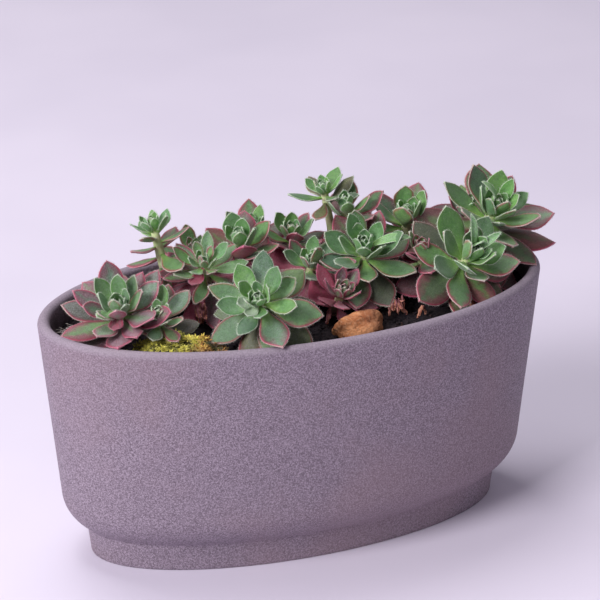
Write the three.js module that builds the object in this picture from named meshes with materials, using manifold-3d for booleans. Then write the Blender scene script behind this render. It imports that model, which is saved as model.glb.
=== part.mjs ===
// A long oval stoneware planter filled with downy, aeonium-like rosettes.
//
// Millimetres, +Z up. The origin is the centre of the flat underside of the pot's foot,
// +X runs along the pot and -Y is the side that faces a visitor.

import * as THREE from 'three';
import { mergeVertices } from 'three/addons/utils/BufferGeometryUtils.js';
import Module from 'manifold-3d';

const wasm = await Module();
wasm.setup();
const { Manifold, Mesh } = wasm;

// ---------------------------------------------------------------- driving dimensions

const POT = {
  length: 300,
  width: 152,
  height: 148,
  wall: 7,
  wallSlope: 9.8, // how far the outer wall leans in between the lip and the shoulder
  shoulderTop: 38, // height where the straight wall turns in
  creaseHeight: 18.5,
  creaseInset: 22.3, // inset of the crease between the body and the foot
  creaseRound: 1.6, // height of the small hollow under the crease
  shoulderPull: [1.6, 11], // how far the shoulder's curve runs on inward and down before it turns
  footTopInset: 23.6,
  footInset: 25.4,
  footEase: 1, // small round at the bottom edge of the foot
  floor: 9, // thickness of the pot's floor
  floorRound: [13, 4], // inset and height of the hollow between the inner wall and the floor
  shoulderSteps: 4,
  lipSteps: 4,
  sides: 40,
};

const SOIL = {
  top: 134,
  edge: 3.5, // height below the top at which the soil's edge starts to round over
  gap: 0.3,
  chordGap: 0.4, // more room at the wall, where the soil's flat sides cut across the oval
  rings: 4,
  sides: 30,
  lump: 1.5,
  lumpSpan: [9.5, 7.5],
  ripple: 0.8,
  rippleSpan: [4.3, 5.1],
};

const STEM = {
  foot: 2.7, // radius where it enters the soil
  crown: 2.2, // radius at the innermost leaves
  core: 0.11, // radius among the leaves, over the length of the leaves
  sides: 6,
  buried: 20,
  drop: 0.6, // share of its height over which it bends upright
  bare: 7, // height over the soil that carries no leaves
  tip: 2.5, // the growing point over the innermost leaves
  swellBelow: 9, // the stem is thickest this far below the crown, or at its lowest leaf
  collar: 1, // upright length over the soil
  holeGap: 0.4,
};

const LEAF = {
  rings: [0, 0.36, 0.7], // where the blade's rings lie along it
  baseWidth: 0.16, // width at the root over the greatest width
  widest: 0.6, // where the blade is widest
  curl: 22, // how far the blade bends up from root to tip, degrees
  thick: [0.7, 0.15], // thickness is the first plus the second times the width
  thinEnds: 0.55, // thickness at the ends over the greatest thickness
  lengthFall: 1.35, // how late the leaves grow shorter towards the middle
  rootOut: 1.2, // the root's distance from the stem's axis
  tipClear: 0.5,
  clear: 0.4, // free space kept round a blade
};

const GOLDEN_ANGLE = 137.508;
const JITTER = { turn: 12, rise: 9, length: 0.15, width: 0.14 };

// A leaf that would run into its neighbour bends by the first of these angles that frees it,
// first at its full length and then at a shorter one.
const BENDS = [0, 7, -7, 14, -14, 21, -21, 28, 36, 45];
const SHORTER = [1, 0.78];
const OWN_OVERLAP_FROM = 0.4; // nearer the root than this, leaves of one head may merge

// Old leaves hang on below a head's own spiral. Each is this much lower and droops this much more.
const SKIRT = { step: 1.7, droop: 5, length: 0.98 };

// Each head is a stem that leans by `lean` degrees towards the compass angle `toward`, with
// `leaves` leaves in a spiral over the top `stack` of it, and `skirt` older leaves below them.
// The spiral starts at `turn` and runs the way `hand` says. Its lowest leaf is `length` long and
// points `low` degrees over the plane across the stem. The innermost leaf is shorter by the
// share `shrink` and points `high` degrees, and `bend` says how late the leaves in between rise.
// `wide` is a leaf's width over its length, and `crowd` over 1 gathers the leaves near the crown.
const HEADS = [
  { name: 'rosette_front', crown: [-38, -46, 165], lean: 44, toward: 236, turn: 307, hand: -1,
    leaves: 21, skirt: 4, length: 34, wide: 0.44, low: -23, high: 74, bend: 1.7, stack: 5, shrink: 0.58,
    seed: 473 },
  { name: 'rosette_left', crown: [-108, -14, 157], lean: 30, toward: 240, turn: 160, hand: -1,
    leaves: 26, skirt: 6, length: 34, wide: 0.45, low: 6, high: 78, bend: 1.1, stack: 8, shrink: 0.6,
    seed: 181 },
  { name: 'rosette_front_right', crown: [95, -28, 163], lean: 40, toward: 286, turn: 128, hand: -1,
    leaves: 22, skirt: 9, length: 35, wide: 0.5, low: -16, high: 84, bend: 1.2, stack: 10, shrink: 0.56,
    seed: 194 },
  { name: 'rosette_right', crown: [125, 4, 174], lean: 26, toward: 292, turn: 250, hand: 1,
    leaves: 22, skirt: 8, length: 43, wide: 0.48, low: -12, high: 72, bend: 1.1, stack: 10, shrink: 0.62,
    seed: 175 },
  { name: 'rosette_middle_right', crown: [40, -5, 166], lean: 26, toward: 248, turn: 288, hand: -1,
    leaves: 19, skirt: 7, length: 34, wide: 0.5, low: -14, high: 72, bend: 1.1, stack: 8, shrink: 0.5,
    seed: 292 },
  { name: 'rosette_middle', crown: [12, 5, 158], lean: 30, toward: 256, turn: 224, hand: 1,
    leaves: 14, skirt: 9, length: 29, wide: 0.5, low: -6, high: 62, bend: 1.2, stack: 9, shrink: 0.5,
    seed: 855 },
  { name: 'rosette_middle_left', crown: [-50, 12, 164], lean: 30, toward: 240, turn: 181, hand: -1,
    leaves: 18, skirt: 4, length: 32, wide: 0.36, low: -20, high: 42, bend: 1.2, stack: 11, shrink: 0.44,
    seed: 768 },
  { name: 'rosette_back_left', crown: [-27, 18, 171], lean: 18, toward: 240, turn: 33, hand: -1,
    leaves: 16, skirt: 8, length: 27, wide: 0.52, low: -8, high: 78, bend: 0.9, stack: 8, shrink: 0.45,
    seed: 867 },
  { name: 'rosette_back_right', crown: [77, 20, 169], lean: 16, toward: 255, turn: 300, hand: -1,
    leaves: 14, skirt: 8, length: 34, wide: 0.5, low: -4, high: 66, bend: 0.9, stack: 8, shrink: 0.45,
    seed: 150 },
  { name: 'tall_stem_left', crown: [-73, 31, 182], lean: 12, toward: 160, turn: 89, hand: 1,
    leaves: 14, skirt: 0, length: 24, wide: 0.46, low: -26, high: 46, bend: 1.0, stack: 25, crowd: 1.6,
    shrink: 0.42, seed: 793 },
  { name: 'tall_stem_back', crown: [30, 31, 190], lean: 14, toward: 205, turn: 96, hand: -1,
    leaves: 8, skirt: 2, length: 21, wide: 0.44, low: 2, high: 60, bend: 1.5, stack: 4, shrink: 0.44,
    seed: 684 },
  { name: 'low_stem_back', crown: [40, 23, 181], lean: 20, toward: 240, turn: 95, hand: 1,
    leaves: 12, skirt: 5, length: 27, wide: 0.44, low: -6, high: 80, bend: 1.2, stack: 8, shrink: 0.42,
    seed: 713 },
  { name: 'sprig_left', crown: [-89, -24, 154], lean: 30, toward: 245, turn: 71, hand: -1,
    leaves: 11, skirt: 4, length: 23, wide: 0.44, low: -4, high: 60, bend: 1.2, stack: 6, shrink: 0.4,
    seed: 905 },
  { name: 'sprig_back', crown: [11, 34, 164], lean: 18, toward: 255, turn: 3, hand: -1,
    leaves: 11, skirt: 6, length: 22, wide: 0.5, low: 4, high: 70, bend: 0.9, stack: 6, shrink: 0.35,
    seed: 657 },
  { name: 'rosette_rear_left', crown: [-10, 40, 166], lean: 10, toward: 240, turn: 20, hand: 1,
    leaves: 11, skirt: 7, length: 29, wide: 0.46, low: 5, high: 70, bend: 1.0, stack: 9, shrink: 0.5,
    seed: 31 },
  { name: 'sprig_rear_left', crown: [-46, 38, 160], lean: 12, toward: 240, turn: 50, hand: -1,
    leaves: 9, skirt: 4, length: 24, wide: 0.44, low: 0, high: 65, bend: 1.0, stack: 7, shrink: 0.45,
    seed: 77 },
  { name: 'sprig_right', crown: [117, 22, 169], lean: 12, toward: 250, turn: 105, hand: 1,
    leaves: 9, skirt: 4, length: 20, wide: 0.48, low: -1, high: 66, bend: 1.2, stack: 6, shrink: 0.35,
    seed: 21 },
  { name: 'sprig_middle', crown: [74, -10, 162], lean: 14, toward: 235, turn: 320, hand: -1,
    leaves: 11, skirt: 4, length: 23, wide: 0.5, low: 6, high: 66, bend: 0.9, stack: 7, shrink: 0.4,
    seed: 556 },
  { name: 'sprig_front', crown: [20, -21, 149], lean: 30, toward: 285, turn: 200, hand: 1,
    leaves: 8, skirt: 2, length: 21, wide: 0.48, low: 2, high: 60, bend: 1.0, stack: 5, shrink: 0.35,
    seed: 88 },
];

const STONE = {
  center: [23, -40, 137],
  size: [30, 20, 18],
  turn: 14,
  bulges: [0.07, 0.06], // how far its sides are pushed in and out, over its size
};
const MOSS = {
  center: [-81, -37.5, 133.5],
  size: [50, 28],
  height: 11,
  depth: 4, // how far the cushion reaches down before it is cut off along the soil
  turn: -26,
  rings: 5,
  sides: 24,
  lobes: [0.09, 0.06], // how far its edge swings in and out, over its half width
  tuft: 1.1,
  tuftSpan: [1.9, 1.7],
};

const COLOR = {
  pot: 0x8f8186,
  soil: 0x2b231f,
  stone: 0xa9764f,
  moss: 0x8a8a35,
  leaf: 0x74895c,
  paleLeaf: 0x9aab74,
};

const RADIAN = Math.PI / 180;

// ---------------------------------------------------------------- solids and meshes

// The same stream of draws for the same seed, each from -1 to 1.
function seededDraws(seed) {
  const modulus = 2147483647;
  let state = seed * 7919 + 13;
  return () => {
    state = (state * 16807) % modulus;
    return (state / modulus) * 2 - 1;
  };
}

function toSolid(geometry) {
  geometry.deleteAttribute('normal');
  geometry.deleteAttribute('uv');
  const merged = mergeVertices(geometry);
  return new Manifold(new Mesh({
    numProp: 3,
    vertProperties: new Float32Array(merged.attributes.position.array),
    triVerts: new Uint32Array(merged.index.array),
  }));
}

function toGeometry(solid) {
  const mesh = solid.getMesh();
  const geometry = new THREE.BufferGeometry();
  geometry.setAttribute('position', new THREE.Float32BufferAttribute(mesh.vertProperties, 3));
  geometry.setIndex(new THREE.Uint32BufferAttribute(mesh.triVerts, 1));
  return geometry;
}

// A closed body through rings of equal length, each ring counter-clockwise seen from the end.
// `first` and `last` are the points that close its two ends.
function loftRings(rings, first, last) {
  const count = rings[0].length;
  const points = [first, ...rings.flat(), last];
  const faces = [];
  const at = (ring, side) => 1 + ring * count + (side % count);
  for (let side = 0; side < count; side++) {
    faces.push(0, at(0, side + 1), at(0, side));
    for (let ring = 0; ring + 1 < rings.length; ring++) {
      faces.push(at(ring, side), at(ring, side + 1), at(ring + 1, side + 1));
      faces.push(at(ring, side), at(ring + 1, side + 1), at(ring + 1, side));
    }
    faces.push(points.length - 1, at(rings.length - 1, side), at(rings.length - 1, side + 1));
  }
  const geometry = new THREE.BufferGeometry().setFromPoints(points);
  geometry.setIndex(faces);
  return geometry;
}

function ovalRing(inset, height, sides) {
  const ring = [];
  for (let side = 0; side < sides; side++) {
    const angle = (side / sides) * 2 * Math.PI;
    const x = (POT.length / 2 - inset) * Math.cos(angle);
    const y = (POT.width / 2 - inset) * Math.sin(angle);
    ring.push(new THREE.Vector3(x, y, height));
  }
  return ring;
}

// ---------------------------------------------------------------- pot

function arcPoints(center, radius, from, to, steps) {
  const points = [];
  for (let step = 0; step <= steps; step++) {
    const angle = (from + ((to - from) * step) / steps) * RADIAN;
    points.push([center[0] - radius * Math.cos(angle), center[1] + radius * Math.sin(angle)]);
  }
  return points;
}

// The pot's section as [inset from the greatest oval, height], up the outside and down the inside.
function potSection() {
  const lip = POT.wall / 2;
  const wallTop = POT.height - lip;
  const [pullIn, pullDown] = POT.shoulderPull;
  const [floorIn, floorUp] = POT.floorRound;
  const bend = new THREE.QuadraticBezierCurve(
    new THREE.Vector2(POT.wallSlope, POT.shoulderTop),
    new THREE.Vector2(POT.wallSlope + pullIn, POT.shoulderTop - pullDown),
    new THREE.Vector2(POT.creaseInset, POT.creaseHeight),
  );
  const shoulder = bend.getPoints(POT.shoulderSteps).reverse().map((point) => [point.x, point.y]);
  const outside = [
    [POT.footInset + POT.footEase, 0],
    [POT.footInset, POT.footEase],
    [POT.footTopInset, POT.creaseHeight - POT.creaseRound],
    ...shoulder,
  ];
  const lipArc = arcPoints([lip, wallTop], lip, 0, 180, POT.lipSteps);
  const inside = [
    [POT.wallSlope + POT.wall, POT.shoulderTop],
    [POT.creaseInset + floorUp, POT.creaseHeight + floorUp],
    [POT.creaseInset + floorIn, POT.floor],
  ];
  return [...outside, ...lipArc, ...inside];
}

function makePot() {
  const rings = potSection().map(([inset, height]) => ovalRing(inset, height, POT.sides));
  const underside = new THREE.Vector3(0, 0, 0);
  const floor = new THREE.Vector3(0, 0, POT.floor);
  return toSolid(loftRings(rings, underside, floor));
}

// ---------------------------------------------------------------- soil, stone, moss

function soilHeight(x, y) {
  const lumps = Math.sin(x / SOIL.lumpSpan[0] + 1.3) * Math.cos(y / SOIL.lumpSpan[1]);
  const ripples = Math.sin(x / SOIL.rippleSpan[0] + y / SOIL.rippleSpan[1]);
  return SOIL.top + SOIL.lump * lumps + SOIL.ripple * ripples;
}

// Inset of the pot's inner wall at a height, from the same section as the pot.
function innerInset(height) {
  const section = potSection();
  for (let row = section.length - 1; row > 0; row--) {
    const [lowInset, low] = section[row];
    const [highInset, high] = section[row - 1];
    if (height >= low && height <= high && high > low) {
      return lowInset + ((highInset - lowInset) * (height - low)) / (high - low);
    }
  }
  throw new Error('no inner wall at this height');
}

function makeSoil() {
  const bottom = POT.floor + SOIL.gap;
  const clear = SOIL.gap + SOIL.chordGap;
  const heights = [bottom, POT.creaseHeight + POT.floorRound[1], POT.shoulderTop, SOIL.top - SOIL.edge];
  const rings = heights.map((height) => ovalRing(innerInset(height) + clear, height, SOIL.sides));
  const rim = ovalRing(innerInset(SOIL.top) + clear, SOIL.top, SOIL.sides);
  for (let ring = 0; ring < SOIL.rings; ring++) {
    const share = 1 - ring / SOIL.rings;
    rings.push(rim.map(({ x, y }) => {
      return new THREE.Vector3(x * share, y * share, soilHeight(x * share, y * share));
    }));
  }
  const first = new THREE.Vector3(0, 0, bottom);
  const last = new THREE.Vector3(0, 0, soilHeight(0, 0));
  return toSolid(loftRings(rings, first, last));
}

// A water-worn pebble: a ball pushed in and out a little, then cut off where the soil holds it.
function makeStone(soil) {
  const geometry = new THREE.IcosahedronGeometry(0.5, 2);
  geometry.deleteAttribute('normal');
  geometry.deleteAttribute('uv');
  const ball = mergeVertices(geometry);
  const position = ball.attributes.position;
  const point = new THREE.Vector3();
  for (let index = 0; index < position.count; index++) {
    point.fromBufferAttribute(position, index);
    const { x, y, z } = point;
    const lengthways = STONE.bulges[0] * Math.sin(7 * x + 5);
    const crossways = STONE.bulges[1] * Math.sin(9 * y + 6 * z);
    point.multiplyScalar(1 + lengthways + crossways);
    position.setXYZ(index, point.x, point.y, point.z);
  }
  ball.scale(...STONE.size);
  ball.rotateZ(STONE.turn * RADIAN);
  ball.translate(...STONE.center);
  return toSolid(ball).subtract(soil.translate([0, 0, SOIL.gap]));
}

// A cushion of moss with rounded tufts, lying on the soil.
function makeMoss(soil) {
  const [length, width] = MOSS.size;
  const mossRing = (climb) => {
    const ring = [];
    for (let side = 0; side < MOSS.sides; side++) {
      const angle = (side / MOSS.sides) * 2 * Math.PI;
      const lobes = MOSS.lobes[0] * Math.sin(5 * angle) + MOSS.lobes[1] * Math.sin(9 * angle + 1);
      const share = Math.cos(climb) * (1 + lobes);
      const x = (length / 2) * share * Math.cos(angle);
      const y = (width / 2) * share * Math.sin(angle);
      const tuft = Math.sin(x / MOSS.tuftSpan[0] + 0.6) * Math.sin(y / MOSS.tuftSpan[1] + 1.1);
      const height = climb === 0 ? -MOSS.depth : MOSS.height * Math.sin(climb) + MOSS.tuft * tuft;
      ring.push(new THREE.Vector3(x, y, height));
    }
    return ring;
  };
  const rings = [];
  for (let ring = 0; ring < MOSS.rings; ring++) {
    rings.push(mossRing((ring / MOSS.rings) * 0.5 * Math.PI));
  }
  const first = new THREE.Vector3(0, 0, -MOSS.depth);
  const last = new THREE.Vector3(0, 0, MOSS.height);
  const cushion = loftRings(rings, first, last);
  cushion.rotateZ(MOSS.turn * RADIAN);
  cushion.translate(...MOSS.center);
  return toSolid(cushion).subtract(soil.translate([0, 0, SOIL.gap]));
}

// ---------------------------------------------------------------- stems

// The direction of a head's stem, and two directions across it.
function headAxes({ lean, toward }) {
  const tilt = lean * RADIAN;
  const compass = toward * RADIAN;
  const up = new THREE.Vector3(
    Math.sin(tilt) * Math.cos(compass),
    Math.sin(tilt) * Math.sin(compass),
    Math.cos(tilt),
  );
  const side = new THREE.Vector3(1, 0, 0).addScaledVector(up, -up.x).normalize();
  const across = new THREE.Vector3().crossVectors(up, side);
  return { up, side, across };
}

// How far below the crown the lowest leaf grows.
function leafyLength(head) {
  const room = (head.crown[2] - SOIL.top - STEM.bare) / headAxes(head).up.z;
  return Math.min(head.stack + SKIRT.step * head.skirt, room);
}

// From the crown straight down through the leaves, then bending until it enters the soil upright.
function stemRoute(head) {
  const { up } = headAxes(head);
  const crown = new THREE.Vector3(...head.crown);
  const belowLeaves = crown.clone().addScaledVector(up, -leafyLength(head) - STEM.collar);
  const fall = (belowLeaves.z - SOIL.top) * STEM.drop;
  const bend = belowLeaves.clone().addScaledVector(up, -fall / up.z);
  const entry = new THREE.Vector3(bend.x, bend.y, SOIL.top + STEM.collar);
  const foot = new THREE.Vector3(bend.x, bend.y, SOIL.top - STEM.buried);
  return { up, crown, belowLeaves, bend, entry, foot };
}

function stemRing(center, direction, radius) {
  const ring = [];
  const side = new THREE.Vector3(1, 0, 0).addScaledVector(direction, -direction.x).normalize();
  const across = new THREE.Vector3().crossVectors(direction, side);
  for (let step = 0; step < STEM.sides; step++) {
    const angle = ((step + 0.5) / STEM.sides) * 2 * Math.PI;
    const point = center.clone();
    point.addScaledVector(side, radius * Math.cos(angle));
    point.addScaledVector(across, radius * Math.sin(angle));
    ring.push(point);
  }
  return ring;
}

function makeStem(head) {
  const { up, crown, belowLeaves, bend, entry, foot } = stemRoute(head);
  const upright = new THREE.Vector3(0, 0, 1);
  const curve = new THREE.QuadraticBezierCurve3(entry, bend, belowLeaves);
  const rings = [stemRing(foot, upright, STEM.foot), stemRing(entry, upright, STEM.foot)];
  for (const share of [0.35, 0.7, 1]) {
    const radius = THREE.MathUtils.lerp(STEM.foot, STEM.crown, share);
    rings.push(stemRing(curve.getPoint(share), curve.getTangent(share), radius));
  }
  const lowLeaf = crown.clone().addScaledVector(up, -Math.min(head.stack, STEM.swellBelow));
  rings.push(stemRing(lowLeaf, up, Math.max(STEM.crown, STEM.core * head.length)));
  rings.push(stemRing(crown, up, STEM.crown));
  const tip = crown.clone().addScaledVector(up, STEM.tip);
  return toSolid(loftRings(rings, foot, tip));
}

function makeStemHole(head) {
  const { foot } = stemRoute(head);
  const upright = new THREE.Vector3(0, 0, 1);
  const radius = STEM.foot + STEM.holeGap / Math.cos(Math.PI / STEM.sides);
  const low = foot.clone().setZ(foot.z - SOIL.gap);
  const high = foot.clone().setZ(POT.height);
  const rings = [stemRing(low, upright, radius), stemRing(high, upright, radius)];
  return toSolid(loftRings(rings, low, high));
}

// ---------------------------------------------------------------- leaves

// Where each leaf of a head grows and how it points, from the lowest to the innermost.
function spiralLeaves(head) {
  const draw = seededDraws(head.seed);
  const leaves = [];
  for (let index = 0; index < head.leaves; index++) {
    const age = index / (head.leaves - 1);
    const rise = head.low + (head.high - head.low) * age ** head.bend;
    const leaf = {};
    leaf.turn = head.turn + head.hand * GOLDEN_ANGLE * index + JITTER.turn * draw();
    leaf.rise = rise + JITTER.rise * draw();
    leaf.length = head.length * (1 - head.shrink * age ** LEAF.lengthFall) * (1 + JITTER.length * draw());
    leaf.width = leaf.length * head.wide * (1 + JITTER.width * draw());
    leaf.below = head.stack * (1 - age) ** (head.crowd ?? 1);
    leaves.push(leaf);
  }
  return leaves;
}

function skirtLeaves(head) {
  const draw = seededDraws(head.seed + 1000);
  const leaves = [];
  for (let index = 1; index <= head.skirt; index++) {
    const leaf = {};
    leaf.turn = head.turn - head.hand * GOLDEN_ANGLE * index + JITTER.turn * draw();
    leaf.rise = head.low - SKIRT.droop * index + JITTER.rise * draw();
    leaf.length = head.length * SKIRT.length * (1 + JITTER.length * draw());
    leaf.width = leaf.length * head.wide * (1 + JITTER.width * draw());
    leaf.below = Math.min(head.stack + SKIRT.step * index, leafyLength(head));
    leaves.push(leaf);
  }
  return leaves;
}

function widthShare(along) {
  if (along < LEAF.widest) {
    const growth = Math.sin((Math.PI / 2) * (along / LEAF.widest)) ** 2;
    return LEAF.baseWidth + (1 - LEAF.baseWidth) * growth;
  }
  const past = (along - LEAF.widest) / (1 - LEAF.widest);
  return Math.cos((Math.PI / 2) * past ** 1.25) ** 0.85;
}

// One pointed blade, flat above and keeled below. `spare` makes it larger all round, to test for free space,
// and `from` leaves out the part nearer the root than that share of its length.
function bladeSolid(head, leaf, bend, scale, spare = 0, from = 0) {
  const { up, side, across } = headAxes(head);
  const turn = leaf.turn * RADIAN;
  const outward = side.clone().multiplyScalar(Math.cos(turn)).addScaledVector(across, Math.sin(turn));
  const sideways = new THREE.Vector3().crossVectors(up, outward);
  const root = new THREE.Vector3(...head.crown);
  root.addScaledVector(up, -leaf.below).addScaledVector(outward, LEAF.rootOut);
  const curl = LEAF.curl * RADIAN;
  const start = (leaf.rise + bend) * RADIAN - 0.35 * curl;
  const radius = (leaf.length * scale) / curl;
  const spine = (along) => {
    const angle = start + curl * along;
    const out = radius * (Math.sin(angle) - Math.sin(start));
    const lift = radius * (Math.cos(start) - Math.cos(angle));
    const point = root.clone().addScaledVector(outward, out).addScaledVector(up, lift);
    const face = outward.clone().multiplyScalar(-Math.sin(angle)).addScaledVector(up, Math.cos(angle));
    return { point, face };
  };
  const width = leaf.width * Math.sqrt(scale);
  const thickest = LEAF.thick[0] + LEAF.thick[1] * width;
  const rings = LEAF.rings.map((ring) => {
    const along = from + (1 - from) * ring;
    const { point, face } = spine(along);
    const half = (width / 2) * widthShare(along) + spare;
    const swell = Math.sin(Math.PI * Math.min(1, along + 0.15));
    const fullness = LEAF.thinEnds + (1 - LEAF.thinEnds) * swell;
    const corner = (offset, depth) => {
      return point.clone().addScaledVector(sideways, offset).addScaledVector(face, -depth);
    };
    return [corner(half, -spare), corner(-half, -spare), corner(0, thickest * fullness + spare)];
  });
  const tip = spine(1).point;
  if (spare > 0) {
    tip.addScaledVector(outward, LEAF.tipClear);
  }
  return toSolid(loftRings(rings, spine(from).point, tip));
}

function withBox(solid) {
  const { min, max } = solid.boundingBox();
  const box = new THREE.Box3(new THREE.Vector3(...min), new THREE.Vector3(...max));
  return { solid, box };
}

function touches(test, others) {
  return others.some((other) => {
    return test.box.intersectsBox(other.box) && test.solid.intersect(other.solid).volume() > 0;
  });
}

// The blade bent clear of everything else in the pot, or nothing if there is no room for it.
function fitBlade(head, leaf, strangers, ownBlades) {
  for (const scale of SHORTER) {
    for (const bend of BENDS) {
      const whole = withBox(bladeSolid(head, leaf, bend, scale, LEAF.clear));
      const outer = withBox(bladeSolid(head, leaf, bend, scale, 0, OWN_OVERLAP_FROM));
      if (!touches(whole, strangers) && !touches(outer, ownBlades)) {
        return bladeSolid(head, leaf, bend, scale);
      }
    }
  }
  return null;
}

// All heads, grown from the innermost leaves outwards so that the old leaves give way.
function growHeads(fixed) {
  const stems = HEADS.map((head) => makeStem(head));
  const blades = HEADS.map(() => []);
  const grow = (number, leaves) => {
    const otherStems = stems.filter((_, other) => other !== number).map(withBox);
    const otherBlades = blades.filter((_, other) => other !== number).flat();
    for (const leaf of leaves) {
      const strangers = [...fixed, ...otherStems, ...otherBlades];
      const blade = fitBlade(HEADS[number], leaf, strangers, blades[number]);
      if (blade) {
        blades[number].push(withBox(blade));
      }
    }
  };
  HEADS.forEach((head, number) => grow(number, spiralLeaves(head).reverse()));
  HEADS.forEach((head, number) => grow(number, skirtLeaves(head)));
  return HEADS.map((head, number) => {
    const fused = blades[number].reduce((sum, { solid }) => sum.add(solid), stems[number]);
    return { head, fused };
  });
}

// ---------------------------------------------------------------- the planted pot

const group = new THREE.Group();

function addMesh(name, solid, color, roughness) {
  const material = new THREE.MeshStandardMaterial({ color, roughness, metalness: 0 });
  const mesh = new THREE.Mesh(toGeometry(solid), material);
  mesh.name = name;
  group.add(mesh);
}

const pot = makePot();
const plainSoil = makeSoil();
const stone = makeStone(plainSoil);
const moss = HEADS.reduce((rest, head) => rest.subtract(makeStemHole(head)), makeMoss(plainSoil));
const soil = HEADS.reduce((rest, head) => rest.subtract(makeStemHole(head)), plainSoil);

addMesh('pot', pot, COLOR.pot, 0.7);
addMesh('soil', soil, COLOR.soil, 1);
addMesh('stone', stone, COLOR.stone, 0.8);
addMesh('moss', moss, COLOR.moss, 1);
for (const { head, fused } of growHeads([pot, plainSoil, stone, moss].map(withBox))) {
  addMesh(head.name, fused, head.name.startsWith('tall') ? COLOR.paleLeaf : COLOR.leaf, 0.75);
}

export default group;
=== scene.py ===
import random
from math import atan2, copysign, cos, exp, hypot, pi, radians, sin, sqrt

import bmesh
import bpy
import numpy as np
from mathutils import Matrix, Vector, noise
from numpy.linalg import norm


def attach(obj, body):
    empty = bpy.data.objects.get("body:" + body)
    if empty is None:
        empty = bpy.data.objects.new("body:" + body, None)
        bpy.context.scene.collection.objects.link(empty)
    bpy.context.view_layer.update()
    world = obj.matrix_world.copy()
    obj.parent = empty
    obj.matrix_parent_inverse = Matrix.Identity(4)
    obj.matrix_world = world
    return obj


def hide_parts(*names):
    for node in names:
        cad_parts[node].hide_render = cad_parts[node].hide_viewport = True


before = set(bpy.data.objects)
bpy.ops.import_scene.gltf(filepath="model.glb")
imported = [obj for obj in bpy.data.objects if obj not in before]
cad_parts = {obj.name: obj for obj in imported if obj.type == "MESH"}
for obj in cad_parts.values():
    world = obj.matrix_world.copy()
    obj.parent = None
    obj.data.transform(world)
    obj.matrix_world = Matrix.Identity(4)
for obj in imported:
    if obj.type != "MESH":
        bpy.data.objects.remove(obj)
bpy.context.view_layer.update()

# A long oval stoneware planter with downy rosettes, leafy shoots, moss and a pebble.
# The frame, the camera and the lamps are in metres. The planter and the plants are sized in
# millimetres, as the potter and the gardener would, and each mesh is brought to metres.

# ------------------------ camera
# A long lens, level with a visitor's chest, looks down at the front of the planter from the
# left of its middle. It stands free of everything and nothing rides on it.

CAMERA_PITCH, CAMERA_YAW = radians(24.7), radians(20.8)
CAMERA_DISTANCE = 1.482
CAMERA_AIM = (0.0028, -0.0011, 0.14)

scene = bpy.context.scene
camera = bpy.data.objects.new("camera", bpy.data.cameras.new("camera"))
camera.data.sensor_width = 36
camera.data.lens = 156
look = Vector((sin(CAMERA_YAW) * cos(CAMERA_PITCH), cos(CAMERA_YAW) * cos(CAMERA_PITCH),
               -sin(CAMERA_PITCH)))
camera.location = Vector(CAMERA_AIM) - look * CAMERA_DISTANCE
camera.rotation_euler = look.to_track_quat("-Z", "Y").to_euler()
scene.collection.objects.link(camera)
scene.camera = camera

# ------------------------ planter
# One fired piece of stoneware: an oval foot, a crease, a shoulder and a straight wall that
# leans outwards to a round lip. It is dipped in a matte mauve-grey glaze that dries to a
# fine leathery grain, thinner and paler on the lip, and its inside goes near black in
# blotches from a little under the lip down.

POT_HALF_LENGTH, POT_HALF_WIDTH, POT_HEIGHT = 150, 76, 148
POT_WALL, POT_FLOOR, POT_SIDES = 7, 9, 216
WALL_FOOT = (9.8, 38)  # inset from the greatest oval and height where the wall turns in
SHOULDER_PULL = (11.4, 27)
CREASE = (22.3, 18.5)
FOOT_ROWS = [(26.5, 0), (26, 0.1), (25.65, 0.45), (25.4, 1), (25.3, 2.4), (24.5, 9.5),
             (23.75, 15.8), (23.6, 16.6), (23.35, 17.3), (22.9, 17.95)]
FLOOR_ROWS = [(18.4, 31), (21.5, 26), (26.3, 22.5), (30, 16), (35.3, POT_FLOOR)]
LIP_START = 1.5  # millimetres under the lip, from where the inside wall starts to go dark
GLAZE_DARK, GLAZE_LIGHT = (0.158, 0.122, 0.156), (0.402, 0.332, 0.402)
GLAZE_WARM, GLAZE_LIP = (0.31, 0.215, 0.238), (0.29, 0.245, 0.295)
GLAZE_PIT, INSIDE_DARK = (0.11, 0.075, 0.09), (0.06, 0.045, 0.055)


def once_round(count):
    return np.linspace(0, 2 * pi, count, endpoint=False)


def oval(inset, height, sides):
    """A level ring of the planter, that far in from its greatest oval."""
    turn = once_round(sides)
    across = (POT_HALF_LENGTH - inset) * np.cos(turn)
    deep = (POT_HALF_WIDTH - inset) * np.sin(turn)
    return np.stack([across, deep, np.full(sides, float(height))], 1)


def loft(rings, first, last):
    """Points and faces of a closed body through equal rings, with a point at either end."""
    count, around = len(rings), len(rings[0])
    points = np.concatenate([[first], np.concatenate(rings), [last]])
    steps = [(here, (here + 1) % around) for here in range(around)]
    faces = [(0, 1 + b, 1 + a) for a, b in steps]
    for low in range(1, 1 + (count - 1) * around, around):
        high = low + around
        faces += [(low + a, low + b, high + b, high + a) for a, b in steps]
    top = 1 + (count - 1) * around
    faces += [(len(points) - 1, top + a, top + b) for a, b in steps]
    return points, faces


def make_piece(name, look, points, faces, traits=None):
    """A smooth mesh from millimetres, with named numbers for each point that its finish reads."""
    mesh = bpy.data.meshes.new(name)
    mesh.from_pydata((np.asarray(points) * 0.001).tolist(), [], faces)
    for trait, values in (traits or {}).items():
        values = np.asarray(values, np.float32)
        wide = values.ndim == 2
        layer = mesh.attributes.new(trait, "FLOAT_VECTOR" if wide else "FLOAT", "POINT")
        layer.data.foreach_set("vector" if wide else "value", values.ravel())
    mesh.shade_smooth()
    mesh.validate()
    mesh.materials.append(look)
    piece = bpy.data.objects.new(name, mesh)
    scene.collection.objects.link(piece)
    return piece


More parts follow.
